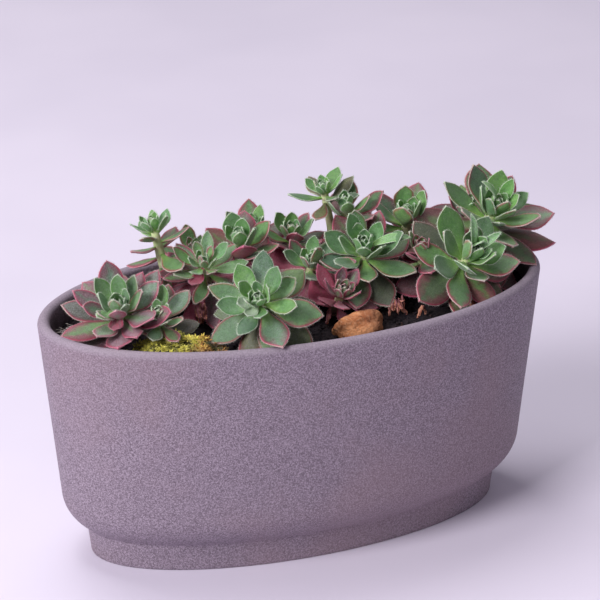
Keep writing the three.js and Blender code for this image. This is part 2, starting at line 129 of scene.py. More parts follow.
class Finish:
    """A finish in the making: its material, its node tree and its shader."""

    def __init__(self, name, **uniform):
        self.material = bpy.data.materials.new(name)
        self.material.use_nodes = True
        self.tree = self.material.node_tree
        self.shader = self.tree.nodes["Principled BSDF"]
        for socket, value in uniform.items():
            self.shader.inputs[socket.replace("_", " ")].default_value = value
        self.place = self.lay("TexCoord").outputs["Object"]

    def lay(self, kind, inputs=None, **settings):
        """A node with its sockets linked or set."""
        node = self.tree.nodes.new("ShaderNode" + kind)
        for key, value in settings.items():
            setattr(node, key, value)
        for socket, value in (inputs or {}).items():
            if isinstance(value, bpy.types.NodeSocket):
                self.tree.links.new(value, node.inputs[socket])
            else:
                node.inputs[socket].default_value = value
        return node

    def trait(self, name):
        """A number that the mesh holds for each point."""
        return self.lay("Attribute", attribute_name=name).outputs["Fac"]

    def traits(self, name):
        """Three numbers that the mesh holds for each point."""
        three = self.lay("Attribute", attribute_name=name).outputs["Vector"]
        return self.lay("SeparateXYZ", {0: three}).outputs

    def metres(self, axis):
        """How far along X, Y or Z each point is."""
        return self.lay("SeparateXYZ", {0: self.place}).outputs[axis]

    def speckle(self, scale, detail=2.0, rough=0.55, warp=0.0):
        """Soft random grain, from 0 to 1. The scale counts grains in a metre."""
        inputs = {"Vector": self.place, "Scale": scale, "Detail": detail, "Roughness": rough,
                  "Distortion": warp}
        return self.lay("TexNoise", inputs).outputs["Fac"]

    def cells(self, scale, feature="F1"):
        """Distances within random cells, so many to a metre."""
        inputs = {"Vector": self.place, "Scale": scale}
        return self.lay("TexVoronoi", inputs, feature=feature).outputs["Distance"]

    def spread(self, value, low, high, to_low=0.0, to_high=1.0):
        """Eases a value from one span to another, and holds it there beyond."""
        inputs = {"Value": value, "From Min": low, "From Max": high, "To Min": to_low,
                  "To Max": to_high}
        return self.lay("MapRange", inputs, interpolation_type="SMOOTHSTEP").outputs[0]

    def reckon(self, operation, *values):
        return self.lay("Math", dict(enumerate(values)), operation=operation).outputs[0]

    def times(self, *values):
        """Two values multiplied, and a third added where there is one."""
        return self.reckon("MULTIPLY_ADD" if len(values) > 2 else "MULTIPLY", *values)

    def tint(self, share, under, over, way="MIX"):
        """One colour over another by a share."""
        under, over = ((*colour, 1) if isinstance(colour, tuple) else colour
                       for colour in (under, over))
        inputs = {0: share, 6: under, 7: over}
        return self.lay("Mix", inputs, data_type="RGBA", blend_type=way).outputs[2]

    def wash(self, under, over, *span, way="MIX"):
        """One colour over another as a value goes through its span."""
        return self.tint(self.spread(*span), under, over, way)

    def feed(self, socket, value):
        self.tree.links.new(value, self.shader.inputs[socket])

    def emboss(self, height, depth, strength=1.0):
        """Lets a grain stand out by a depth in metres."""
        inputs = {"Height": height, "Distance": depth, "Strength": strength}
        self.feed("Normal", self.lay("Bump", inputs).outputs[0])

    def coat(self, colour):
        """Lays the colour on, and hands over the material."""
        self.feed("Base Color", colour)
        return self.material


def arc(start, pull, end, share):
    """A place on the easy curve from one point to another that a third one pulls on."""
    return (1 - share) ** 2 * start + 2 * share * (1 - share) * pull + share ** 2 * end


def pot_profile():
    """Rows of inset and height, up the outside, over the lip and down the inside."""
    corners = [np.array(corner) for corner in (CREASE, SHOULDER_PULL, WALL_FOOT)]
    rows = FOOT_ROWS + [tuple(arc(*corners, share)) for share in np.linspace(0, 1, 22)]
    half = POT_WALL / 2
    wall_top = POT_HEIGHT - half
    for share in (0.03, 0.1, 0.3, 0.5, 0.7, 0.88, 0.96):
        row = WALL_FOOT[0] * (1 - share), WALL_FOOT[1] + (wall_top - WALL_FOOT[1]) * share
        rows.append(row)
    for turn in np.linspace(0, pi, 17):
        rows.append((half - half * cos(turn), wall_top + half * sin(turn)))
    for share in (0.05, 0.3, 0.6, 0.95):
        height = wall_top + (WALL_FOOT[1] - wall_top) * share
        rows.append((POT_WALL + WALL_FOOT[0] * share, height))
    return rows + [(POT_WALL + WALL_FOOT[0], WALL_FOOT[1])] + FLOOR_ROWS


def pot_glaze():
    mix = Finish("matte_mauve_glaze", Roughness=0.62, Specular_IOR_Level=0.32)
    clouds, grain, fine = mix.speckle(9, 3), mix.speckle(1050, 2.5, 0.6, 0.6), mix.speckle(2300, 1)
    worms = mix.cells(880, "DISTANCE_TO_EDGE")
    both = mix.times(fine, 0.45, mix.times(grain, 0.75))
    colour = mix.wash(GLAZE_DARK, GLAZE_LIGHT, both, 0.475, 0.745)
    colour = mix.wash(colour, GLAZE_WARM, clouds, 0.42, 0.66, 0, 0.42)
    colour = mix.wash(colour, GLAZE_DARK, worms, 0.0, 0.12, 0.35, 0)
    colour = mix.wash(colour, GLAZE_PIT, mix.cells(330), 0.05, 0.14, 0.5, 0)
    lip = mix.times(clouds, 0.0015, mix.metres("Z"))
    colour = mix.wash(colour, GLAZE_LIP, lip, 0.144, 0.1478, 0, 0.62)
    inside_blotches = mix.spread(mix.speckle(130, 4, 0.65), 0.28, 0.62, 0.55, 0.95)
    mix.emboss(mix.times(mix.spread(worms, 0, 0.25), 0.5, both), 0.00022, 0.75)
    mix.feed("Roughness", mix.spread(both, 0.3, 0.9, 0.72, 0.52))
    # the inside wall goes near black in blotches, from a little under the lip down
    return mix.coat(mix.tint(mix.times(mix.trait("inside"), inside_blotches), colour, INSIDE_DARK))


rows = pot_profile()
rings = [oval(inset, height, POT_SIDES) for inset, height in rows]
points, faces = loft(rings, (0, 0, 0), (0, 0, POT_FLOOR))
lip_row = max(range(len(rows)), key=lambda row: rows[row][1])
# how dark each row of the inside wall goes: none at the lip, fully from 7.5 millimetres under it
inside_darkening = [min(1.0, max(0.0, (POT_HEIGHT - LIP_START - height) / 6)) if row > lip_row else 0.0
           for row, (_, height) in enumerate(rows)]
inside = np.concatenate([[0.0], np.repeat(inside_darkening, POT_SIDES), [1.0]])
planter = make_piece("oval_planter", pot_glaze(), points, faces, {"inside": inside})
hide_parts("pot")
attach(planter, "root")

# ------------------------ soil
# Dark potting soil, filled to a finger's breadth under the lip and watered down, with crumbs
# of bark and peat lying loose on it. It touches the wall all round.

SOIL_TOP = 134
SOIL_RINGS, SOIL_SIDES = 74, 300
INNER_TOP = POT_WALL + WALL_FOOT[0] * (POT_HEIGHT - SOIL_TOP) / (POT_HEIGHT - WALL_FOOT[1])
CRUMBS, CRUMB_SIZES = 1700, (0.45, 1.9)


def soil_height(x, y):
    lumps = sin(x / 9.5 + 1.3) * cos(y / 7.5)
    return SOIL_TOP + 1.5 * lumps + 0.8 * sin(x / 4.3 + y / 5.1)


def rough(*place):
    """Smooth random bumps, from -1 to 1."""
    return noise.noise(Vector(place))


def crumbly(x, y):
    """How far the crumbs of the soil itself stand over its lie."""
    fine = 0.45 * rough(x / 1.05, y / 1.05, 1.9)
    return 0.9 * rough(x / 5.2, y / 5.2, 3.1) + 0.85 * rough(x / 2.3, y / 2.3, 7.7) + fine


def soil_finish():
    mix = Finish("damp_potting_soil", Roughness=0.95, Specular_IOR_Level=0.15)
    tone, grain = mix.trait("tone"), mix.speckle(420, 4, 0.7)
    colour = mix.wash((0.007, 0.006, 0.009), (0.03, 0.023, 0.026), grain, 0.34, 0.68)
    colour = mix.wash(colour, (0.044, 0.028, 0.027), mix.speckle(60, 3), 0.5, 0.75, 0, 0.5)
    colour = mix.wash(colour, (0.085, 0.042, 0.03), tone, 0.62, 0.92, 0, 0.75)
    colour = mix.wash(colour, (0.25, 0.17, 0.12), tone, 0.96, 1.0, 0, 0.7)
    mix.emboss(grain, 0.0006)
    return mix.coat(colour)


rings = [oval(36, 9.3, SOIL_SIDES), oval(27.5, 22.5, SOIL_SIDES), oval(17.8, 38, SOIL_SIDES),
         oval(INNER_TOP + 0.35, SOIL_TOP - 3.0, SOIL_SIDES)]
rim = oval(INNER_TOP + 0.15, SOIL_TOP, SOIL_SIDES)
for ring in range(SOIL_RINGS):
    level = rim * np.array([1 - ring / SOIL_RINGS] * 2 + [1])
    settle = 0.9 * exp(-ring / 2.5)
    level[:, 2] = [soil_height(x, y) + crumbly(x, y) - settle for x, y, _ in level]
    rings.append(level)
points, faces = loft(rings, (0, 0, 9.3), (0, 0, soil_height(0, 0)))
soil_look = soil_finish()
soil = make_piece("potting_soil", soil_look, points, faces, {"tone": np.full(len(points), 0.2)})
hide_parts("soil")
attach(soil, "root")


def ball(subdivisions):
    """The points and faces of a ball of triangles, one across."""
    shape = bmesh.new()
    bmesh.ops.create_icosphere(shape, subdivisions=subdivisions, radius=0.5)
    points = np.array([point.co for point in shape.verts])
    faces = [tuple(point.index for point in face.verts) for face in shape.faces]
    shape.free()
    return points, faces


def gather(parts):
    """Many small bodies as one: each part is its points, faces and traits."""
    points, faces, traits, start = [], [], {}, 0
    for part_points, part_faces, part_traits in parts:
        points.append(part_points)
        count = len(part_points)
        faces += [tuple(start + corner for corner in face) for face in part_faces]
        for trait, values in part_traits.items():
            values = np.asarray(values, float)
            if values.ndim < 2 and values.size in (1, 3):
                values = np.broadcast_to(values, (count, 3) if values.size == 3 else (count,))
            traits.setdefault(trait, []).append(values)
        start += count
    joined = {trait: np.concatenate(values) for trait, values in traits.items()}
    return np.concatenate(points), faces, joined


draw = random.Random(41)
crumb_balls = ball(1), ball(2)
crumbs = []
for number in range(CRUMBS):
    turn, out = draw.uniform(0, 2 * pi), sqrt(draw.random()) * 0.985
    x, y = rim[0, 0] * out * cos(turn), rim[SOIL_SIDES // 4, 1] * out * sin(turn)
    size = CRUMB_SIZES[0] + (CRUMB_SIZES[1] - CRUMB_SIZES[0]) * draw.random() ** 2.4
    base, faces = crumb_balls[size > 1.2]
    knobs = np.array([1 + 0.45 * noise.noise(Vector(point) * 2.6 + Vector((number, 0, 0)))
                      for point in base])[:, None]
    shape = base * knobs * [draw.uniform(1.0, 1.9), draw.uniform(0.8, 1.2), draw.uniform(0.5, 0.9)]
    angle = draw.uniform(0, 6.28)
    axle = Vector((draw.gauss(0, 1), draw.gauss(0, 1), draw.gauss(0, 1) + 0.01))
    shape = shape * size * 1.25 @ np.array(Matrix.Rotation(angle, 3, axle)).T
    shape += [x, y, soil_height(x, y) + crumbly(x, y) + 0.22 * size]
    crumbs.append((shape, faces, {"tone": draw.random()}))
loose = make_piece("soil_crumbs", soil_look, *gather(crumbs))
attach(loose, "root")

# ------------------------ pebble
# A tan, iron-stained pebble of soft sandstone, sunk a third into the soil behind the lip.
# Its face is rough and pitted, with darker rust in the hollows and painted shade on its right-hand end.

PEBBLE_AT, PEBBLE_SIZE, PEBBLE_TURN = (23, -40, 137), (30, 20, 18), radians(14)


def sandstone():
    mix = Finish("tan_sandstone", Roughness=0.88, Specular_IOR_Level=0.25)
    grain, rust = mix.speckle(700, 3, 0.7), mix.speckle(240, 3, 0.6)
    clouds = mix.speckle(85, 4, 0.6, 0.5)
    colour = mix.wash((0.4, 0.135, 0.05), (0.82, 0.37, 0.165), clouds, 0.36, 0.64)
    colour = mix.wash(colour, (0.76, 0.47, 0.29), grain, 0.45, 0.8, 0, 0.65)
    colour = mix.wash(colour, (0.085, 0.028, 0.014), rust, 0.56, 0.7, 0, 0.85)
    # painted shade: the right-hand end, along +X, is darkened
    colour = mix.wash(colour, (0.2, 0.08, 0.045), mix.metres("X"), 0.019, 0.032, 0, 0.62)
    mix.emboss(mix.reckon("ADD", grain, rust), 0.0005)
    return mix.coat(colour)


points, faces = ball(6)
shaped = []
for x, y, z in points:
    push = 1 + 0.07 * sin(7 * x + 5) + 0.06 * sin(9 * y + 6 * z)
    spot = Vector((x, y, z)) * 2.0 + Vector((4.2, 4.2, 0))
    push += 0.075 * noise.noise(spot * 1.3) + 0.035 * noise.noise(spot * 3.1)
    push += 0.018 * noise.noise(spot * 9) - 0.035 * max(0.0, noise.noise(spot * 6.5) - 0.18)
    shaped.append((x * push, y * push, z * push))
spin = np.array(Matrix.Rotation(PEBBLE_TURN, 3, "Z"))
shaped = np.array(shaped) * PEBBLE_SIZE @ spin.T + PEBBLE_AT
pebble = make_piece("tan_pebble", sandstone(), shaped, faces)
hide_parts("stone")
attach(pebble, "root")

# ------------------------ moss
# A cushion of yellow-green moss pressed on the soil at the front left, made of hundreds of
# short shoots with spreading leaflets, with a small darker patch of the same moss beside it.
# It goes brown at the end that dries out first.

MOSS_SHOOT_CLUMP = 6  # shoots that grow close together
MOSS_CUSHION = {"middle": (-81, -37.5, 133.5), "size": (50, 28), "turn": -26, "height": 11.2,
                "shoots": 900, "leaf": 2.9, "dark": 0.0, "seed": 11}
MOSS_PATCH = {"middle": (-113, -24, 133.5), "size": (26, 13), "turn": -38, "height": 3.4,
              "shoots": 230, "leaf": 1.5, "dark": 0.42, "seed": 23}


def moss_finish():
    mix = Finish("yellow_moss", Roughness=0.8, Specular_IOR_Level=0.25, Sheen_Weight=0.25)
    tone, dry, tip = mix.traits("moss")
    grain = mix.speckle(900, 2)
    green = mix.wash((0.02, 0.03, 0.007), (0.74, 0.7, 0.12), tone, 0.1, 0.9)
    brown = mix.wash((0.04, 0.016, 0.007), (0.46, 0.22, 0.06), tone, 0.1, 0.9)
    # painted shade: each leaflet goes near black towards its root, and so does the mound under the shoots
    colour = mix.wash(mix.tint(dry, green, brown), (0.02, 0.02, 0.007), tip, 0.85, 0.2, 0, 0.85)
    colour = mix.wash(colour, (0.62, 0.58, 0.1), grain, 0.4, 0.8, 0, 0.3)
    mix.emboss(grain, 0.0002)
    return mix.coat(colour)


def moss_shoot(place, lean, size, draw, tone, dry):
    """One shoot: a star of pointed leaflets that arch out from its middle."""
    lean = Vector(lean).normalized()
    side = lean.orthogonal().normalized()
    across = lean.cross(side)
    parts = []
    leaflets = draw.randint(6, 9)
    start = draw.uniform(0, 6.28)
    for leaflet in range(leaflets):
        turn = start + 6.28 * leaflet / leaflets + draw.uniform(-0.3, 0.3)
        out = side * cos(turn) + across * sin(turn)
        flat = lean.cross(out)
        rise = draw.uniform(0.15, 0.9)
        reach = size * draw.uniform(0.7, 1.15)
        root = Vector(place) - lean * size * 0.35
        middle = root + out * reach * 0.5 + lean * (size * 0.35 + reach * rise * 0.6)
        tip = root + out * reach + lean * (size * 0.35 + reach * rise * 0.8)
        half = size * 0.15
        points = [root - flat * half * 0.6, root + flat * half * 0.6, root - lean * half,
                  middle - flat * half, middle + flat * half, middle - lean * half, tip]
        faces = [(0, 2, 1), (0, 1, 4, 3), (1, 2, 5, 4), (2, 0, 3, 5), (3, 4, 6), (4, 5, 6),
                 (5, 3, 6)]
        traits = [(tone, dry, climb) for climb in (0, 0, 0, 0.8, 0.8, 0.8, 1)]
        parts.append((np.array(points), faces, {"moss": traits}))
    return parts


def lobed(angle):
    """How far a cushion bulges out round its edge."""
    return 1 + 0.09 * sin(5 * angle) + 0.06 * sin(9 * angle + 1)


def moss_cushion(name, look, middle, size, turn, height, shoots, leaf, dark, seed):
    """A low mound of brown old moss under a cover of shoots, darkened further as painted shade."""
    draw = random.Random(seed)
    spin = np.array(Matrix.Rotation(radians(turn), 3, "Z"))

    def tufts(x, y):
        """Clumps a finger wide, with smaller ones on them, from -1 to 1."""
        x, y = x * size[0], y * size[1]
        return rough(x / 11, y / 11, seed) + 0.75 * rough(x / 5, y / 5, seed + 3)

    def lie(x, y):
        """A place on the mound, from -1 to 1 both ways of its middle."""
        share = min(1.0, hypot(x, y) / lobed(atan2(y, x)))
        mound = height * sqrt(max(0.0, 1 - share ** 2)) * (1 + 0.34 * tufts(x, y))
        spot = spin @ np.array([x * size[0] / 2, y * size[1] / 2, 0]) + middle
        spot[2] = max(soil_height(spot[0], spot[1]), middle[2] - 0.5) + mound * 0.82
        return spot

    rings = []
    for share in np.linspace(1, 0.06, 15):
        rings.append(np.array([lie(share * lobed(angle) * cos(angle),
                                   share * lobed(angle) * sin(angle)) for angle in once_round(60)]))
    skirt = rings[0] * [1, 1, 0] + [0, 0, SOIL_TOP - 6]
    points, faces = loft([skirt] + rings, skirt.mean(0), lie(0, 0))
    # the mound: a dark tone, half dry, and painted shade as at the roots of the leaflets
    parts = [(points, faces, {"moss": (0.1, 0.4, 0.3)})]
    for number in range(shoots):
        if number % MOSS_SHOOT_CLUMP == 0:
            angle, out = draw.uniform(0, 6.28), sqrt(draw.random())
            clump = out * cos(angle), out * sin(angle)
            clump_tone = draw.gauss(0, 0.22)
        x, y = (at + draw.gauss(0, 1.5) / wide for at, wide in zip(clump, size))
        lean = Vector((draw.gauss(0, 0.3), draw.gauss(0, 0.3), 1.0))
        lean += Vector((x, y, 0)) * 0.5 * max(0.0, hypot(x, y) - 0.4)
        patch = rough(x * 2.3, y * 1.6, seed + 5)
        # painted shade: shoots lying low in the hollows between tufts are darker; the rest of the tone is
        # drawn at random
        tone = draw.gauss(0.68, 0.2) + clump_tone + 0.25 * patch + 0.95 * tufts(x, y) - dark
        tone = min(1.0, max(0.0, tone))
        dry = min(1.0, max(0.0, (x - 0.18) * 2.2 + draw.gauss(0, 0.25) + patch * 0.6))
        parts += moss_shoot(lie(x, y), lean, leaf * draw.uniform(0.7, 1.2), draw, tone, dry)
    cushion = make_piece(name, look, *gather(parts))
    cushion.data.polygons.foreach_set("use_smooth", [False] * len(cushion.data.polygons))
    return cushion


moss_look = moss_finish()
cushion = moss_cushion("moss_cushion", moss_look, **MOSS_CUSHION)
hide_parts("moss")
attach(cushion, "root")

patch = moss_cushion("moss_patch", moss_look, **MOSS_PATCH)
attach(patch, "root")

# ------------------------ how the rosettes grow
# Every plant is a stem with leaves in a spiral, each leaf a golden angle round from the last,
# and older leaves hanging below. A leaf bends where its neighbours leave it room, and the
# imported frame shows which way: the leaf's tip is a corner of the plant's solid.

GOLDEN_ANGLE = 137.508
LEAF_CURL = radians(22)
LEAF_BENDS = (0, 7, -7, 14, -14, 21, -21, 28, 36, 45)  # degrees up or down
LEAF_SHORTER = (1, 0.78)  # of its length
TIP_FOUND = 0.3  # millimetres from a corner of the solid
TURN_JITTER, RISE_JITTER, LENGTH_JITTER, WIDTH_JITTER = 12, 9, 0.15, 0.14
SKIRT_STEP = 1.7  # millimetres down the stem from one hanging leaf to the next
BARE_STEM = 7  # at the least, between the lowest leaf and the soil
STEM_FALL = 0.6  # of a stem's height under its leaves, where it turns down into the soil

# x, y and z are the crown's. The last three columns say how maroon the young and the old leaves
# are, and how much grey bloom lies on them.
PLANTS = """
x y z lean toward turn hand leaves skirt length wide low high bend stack shrink seed crowd young old bloom
rosette_front -38 -46 165 44 236 307 -1 21 4 34 .44 -23 74 1.7 5 .58 473 1 .02 .44 .42
rosette_left -108 -14 157 30 240 160 -1 26 6 34 .45 6 78 1.1 8 .6 181 1 .18 .84 .95
rosette_front_right 95 -28 163 40 286 128 -1 22 9 35 .5 -16 84 1.2 10 .56 194 1 .05 .66 .38
rosette_right 125 4 174 26 292 250 1 22 8 43 .48 -12 72 1.1 10 .62 175 1 .1 .64 .34
rosette_middle_right 40 -5 166 26 248 288 -1 19 7 34 .5 -14 72 1.1 8 .5 292 1 .04 .64 .34
rosette_middle 12 5 158 30 256 224 1 14 9 29 .5 -6 62 1.2 9 .5 855 1 .22 1.15 .55
rosette_middle_left -50 12 164 30 240 181 -1 18 4 32 .36 -20 42 1.2 11 .44 768 1 .3 1.25 .6
rosette_back_left -27 18 171 18 240 33 -1 16 8 27 .52 -8 78 .9 8 .45 867 1 .08 .8 .32
rosette_back_right 77 20 169 16 255 300 -1 14 8 34 .5 -4 66 .9 8 .45 150 1 .2 .86 .32
tall_stem_left -73 31 182 12 160 89 1 14 0 24 .46 -26 46 1 25 .42 793 1.6 .02 .65 .35
tall_stem_back 30 31 190 14 205 96 -1 8 2 21 .44 2 60 1.5 4 .44 684 1 0 .2 .2
low_stem_back 40 23 181 20 240 95 1 12 5 27 .44 -6 80 1.2 8 .42 713 1 .06 .75 .25
sprig_left -89 -24 154 30 245 71 -1 11 4 23 .44 -4 60 1.2 6 .4 905 1 .05 .55 .55
sprig_back 11 34 164 18 255 3 -1 11 6 22 .5 4 70 .9 6 .35 657 1 .3 .9 .3
rosette_rear_left -10 40 166 10 240 20 1 11 7 29 .46 5 70 1 9 .5 31 1 .2 .9 .3
sprig_rear_left -46 38 160 12 240 50 -1 9 4 24 .44 0 65 1 7 .45 77 1 .3 .9 .3
sprig_right 117 22 169 12 250 105 1 9 4 20 .48 -1 66 1.2 6 .35 21 1 .25 .85 .3
sprig_middle 74 -10 162 14 235 320 -1 11 4 23 .5 6 66 .9 7 .4 556 1 .55 1 .25
sprig_front 20 -21 149 30 285 200 1 8 2 21 .48 2 60 1 5 .35 88 1 .7 1.25 .6
"""


def rows_of(table):
    """Each row of a table: its name, and its numbers by the words over the table."""
    words, *rows = [line.split() for line in table.strip().split("\n")]
    for name, *numbers in rows:
        yield name, {word: float(number) if "." in number else int(number)
                     for word, number in zip(words, numbers)}


def seeded_draws(seed):
    """The same stream of draws as the solids have, each from -1 to 1."""
    state = seed * 7919 + 13
    while True:
        state = state * 16807 % 2147483647
        yield state / 2147483647 * 2 - 1


def unit(ways):
    return ways / norm(ways, axis=-1, keepdims=True)


def plant_axes(plant):
    """The direction of a plant's stem, and two directions across it."""
    lean, toward = radians(plant["lean"]), radians(plant["toward"])
    up = np.array([sin(lean) * cos(toward), sin(lean) * sin(toward), cos(lean)])
    side = unit(np.array([1.0, 0, 0]) - up * up[0])
    return up, side, np.cross(up, side)


def leafy_length(plant):
    room = (plant["z"] - SOIL_TOP - BARE_STEM) / plant["axes"][0][2]
    return min(plant["stack"] + SKIRT_STEP * plant["skirt"], room)


def spiral_turn(plant, index):
    return plant["turn"] + plant["hand"] * GOLDEN_ANGLE * index


def draw_leaf(plant, draws, index, rise, length, below, age):
    leaf = {"turn": spiral_turn(plant, index) + TURN_JITTER * next(draws),
            "rise": rise + RISE_JITTER * next(draws), "below": below, "age": age}
    leaf["length"] = length * (1 + LENGTH_JITTER * next(draws))
    leaf["width"] = leaf["length"] * plant["wide"] * (1 + WIDTH_JITTER * next(draws))
    return leaf


def all_leaves(plant):
    """The leaves of the spiral from the lowest to the innermost, then the hanging ones."""
    draws, last = seeded_draws(plant["seed"]), plant["leaves"] - 1
    for index in range(last + 1):
        share = index / last
        rise = plant["low"] + (plant["high"] - plant["low"]) * share ** plant["bend"]
        length = plant["length"] * (1 - plant["shrink"] * share ** 1.35)
        below = plant["stack"] * (1 - share) ** plant["crowd"]
        yield draw_leaf(plant, draws, index, rise, length, below, 1 - share)
    draws = seeded_draws(plant["seed"] + 1000)
    for index in range(1, plant["skirt"] + 1):
        below = min(plant["stack"] + SKIRT_STEP * index, leafy_length(plant))
        yield draw_leaf(plant, draws, -index, plant["low"] - 5 * index,
                        plant["length"] * 0.98, below, 1.15)


def leaf_frame(plant, leaf):
    """Where a leaf leaves the stem, the way out, and the way across it."""
    up, side, across = plant["axes"]
    turn = radians(leaf["turn"])
    outward = side * cos(turn) + across * sin(turn)
    return plant["crown"] - up * leaf["below"] + outward * 1.2, outward, np.cross(up, outward)


def leaf_spine(plant, leaf, along):
    """The middle line of a leaf's upper face, and the way that face looks."""
    root, outward, _ = leaf_frame(plant, leaf)
    up, curl = plant["axes"][0], leaf.get("curl", LEAF_CURL)
    start = radians(leaf["rise"]) - 0.35 * curl
    radius = leaf["length"] / curl
    angle = (start + curl * np.atleast_1d(along))[:, None]
    spine = root + outward * radius * (np.sin(angle) - sin(start))
    spine = spine + up * radius * (cos(start) - np.cos(angle))
    return spine, up * np.cos(angle) - outward * np.sin(angle)


def leaf_as_grown(plant, leaf, corners):
    """The leaf bent as it is in the frame, or nothing where it found no room."""
    best = TIP_FOUND, None
    for shorter in LEAF_SHORTER:
        for bend in LEAF_BENDS:
            tried = leaf | {"rise": leaf["rise"] + bend, "length": leaf["length"] * shorter,
                            "width": leaf["width"] * sqrt(shorter)}
            tip = leaf_spine(plant, tried, 1.0)[0][0]
            miss = np.sqrt(((corners - tip) ** 2).sum(1).min())
            if miss < best[0]:
                best = miss, tried
    return best[1]


grown = {}
for name, plant in rows_of(PLANTS):
    plant["crown"] = np.array([plant["x"], plant["y"], plant["z"]], float)
    plant["axes"] = plant_axes(plant)
    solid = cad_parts[name].data
    corners = np.empty(len(solid.vertices) * 3, np.float32)
    solid.vertices.foreach_get("co", corners)
    corners = corners.reshape(-1, 3) * 1000
    leaves = [leaf_as_grown(plant, leaf, corners) for leaf in all_leaves(plant)]
    grown[name] = plant, [leaf for leaf in leaves if leaf]

# ------------------------ leaves
# Thick spoon-shaped blades, soft as felt: flat to hollow above, keeled below, with a fleshy
# round margin and a short point. Young ones are pale green under white down. Old ones turn
# olive, with maroon spreading in from the margin and from beneath. They grow out of the stem.

ALONG = np.array([0, .05, .11, .18, .26, .34, .42, .5, .57, .64, .7, .76, .815, .865, .905, .94,
                  .965, .983, .994])[:, None]
AROUND = 24
POINT_LENGTH = 0.75  # the hard little tip past the end of the blade
HEART_LEAVES = 11
HEART_RISE = 104  # the middle ones lean inwards and close the crown
HEART_LENGTH = (0.84, 0.44)  # of the innermost leaf, from the outer heart leaf to the middle one

# Leaves that stand out of the spiral, long and curled, small and woolly, or folded and crimson.
ODD_LEAVES = """
turn rise curl length width below fold blush bloom
rosette_front 188 36 30 13 7.8 -2.5 .3 .08 1.17
rosette_front 230 26 30 13 7.6 -2.5 .3 .08 1.17
rosette_front_right 100 62 -70 27 4.6 -1.5 .24 .08 1
rosette_front_right 20 66 -95 25 4.6 -1.5 .24 .08 1
rosette_front_right 330 60 30 15 6.5 -1.5 .24 .08 .9
rosette_right 150 70 -110 25 5.2 -1.5 .24 .08 .9
rosette_right 40 62 20 21 8 -1.5 .24 .08 .3
rosette_middle_right 345 30 -75 29 6.5 -1.5 .24 .08 .8
rosette_middle_right 120 66 15 25 10 -1.5 .24 .08 .2
rosette_middle_left 186 8 24 24 8.5 1 .05 .7 .95
rosette_middle_left 234 16 34 19 8 -1 .6 1.3 .3
rosette_middle_left 197 -8 26 31 8.5 11 .6 1.3 .2
rosette_middle 298 14 26 30 8.5 1 .6 1.3 .3
rosette_middle 333 20 24 26 9 0 .2 .75 .8
rosette_left 246 12 34 17 8 -2 .55 1.12 .6
rosette_left 203 22 24 15 8.4 -3 -.1 .3 .95
"""


def width_share(along):
    rising = 0.16 + 0.84 * np.sin(pi / 2 * np.minimum(along, 0.6) / 0.6) ** 2
    past = np.clip((along - 0.6) / 0.4, 0, 1)
    return np.where(along < 0.6, rising, np.cos(pi / 2 * past ** 1.25) ** 0.85)


def leaf_blade(plant, leaf, draw, blush, bloom):
    """A leaf's closed body with the numbers that its finish reads, and its skin for the down."""
    spine, face = leaf_spine(plant, leaf, ALONG[:, 0])
    sideways = leaf_frame(plant, leaf)[2]
    keel = 0.7 + 0.15 * leaf["width"]
    half = leaf["width"] / 2 * width_share(ALONG) * 1.02
    depth = keel * (0.55 + 0.45 * np.sin(pi * np.minimum(1, ALONG + 0.15))) * 1.05
    margin = np.minimum(depth * 0.52, 0.28 * keel + 0.35)
    flat = 0.24 - 0.36 * min(1.0, leaf["age"])
    cup = (leaf.get("fold", flat) + 0.09 * draw.uniform(-1, 1)) * half
    twist = radians(draw.gauss(0, 8)) * ALONG ** 1.5
    sway = draw.gauss(0, 0.022) * leaf["length"] * np.sin(pi * ALONG) * (ALONG > 0)
    ripple_phase, ripple = draw.uniform(0, 6.28), 0.045 * draw.random()
    turn = once_round(AROUND)
    x, above = np.cos(turn)[None, :], (np.sin(turn) >= -1e-9)[None, :]
    round_off = (1 - np.abs(x) ** 4.5) ** (1 / 2.6)
    middle = -margin / 2
    groove = 0.1 * depth * np.exp(-(x / 0.16) ** 2) * np.sin(pi * ALONG)
    top = middle * (1 - round_off) - cup * (1 - x ** 2) ** 1.4 - groove
    under = middle + middle * round_off - (depth - margin) * (1 - np.abs(x) ** 1.8) ** 0.95
    ripples = ripple * half * np.sin(ALONG * 15 + ripple_phase) * x ** 2
    y = np.where(above, top, under) + ripples + 0.22 * sway * x
    across = x * half * (1 + 0.03 * np.sin(ALONG * 9 + ripple_phase)) + sway
    side_way = (sideways * np.cos(twist) + face * np.sin(twist))[:, None, :]
    face_way = (face * np.cos(twist) - sideways * np.sin(twist))[:, None, :]
    points = spine[:, None, :] + side_way * across[:, :, None] + face_way * y[:, :, None]
    ends, end_face = leaf_spine(plant, leaf, [0.97, 1.0])
    onward = unit(ends[1] - ends[0])
    tip = ends[1] + onward * POINT_LENGTH * leaf["length"] / 30 - end_face[1] * margin[-1] * 0.3
    solid_points, faces = loft(list(points), spine[0] - face[0] * depth[0] * 0.4, tip)
    place = np.stack(np.broadcast_arrays(x, ALONG, half), 2).reshape(-1, 3)
    lower = np.broadcast_to(np.where(above, 0.0, 1.0) * (np.abs(x) < 0.995), y.shape).ravel()
    traits = {"place": np.concatenate([[[0, 0, half[0, 0]]], place, [[0, 1, 0.05]]]),
              "under": np.concatenate([[1], lower, [0.5]]),
              "kind": (leaf["age"], blush, bloom), "shade": draw.random()}
    return (solid_points, faces, traits), (points, face_way, side_way, half)


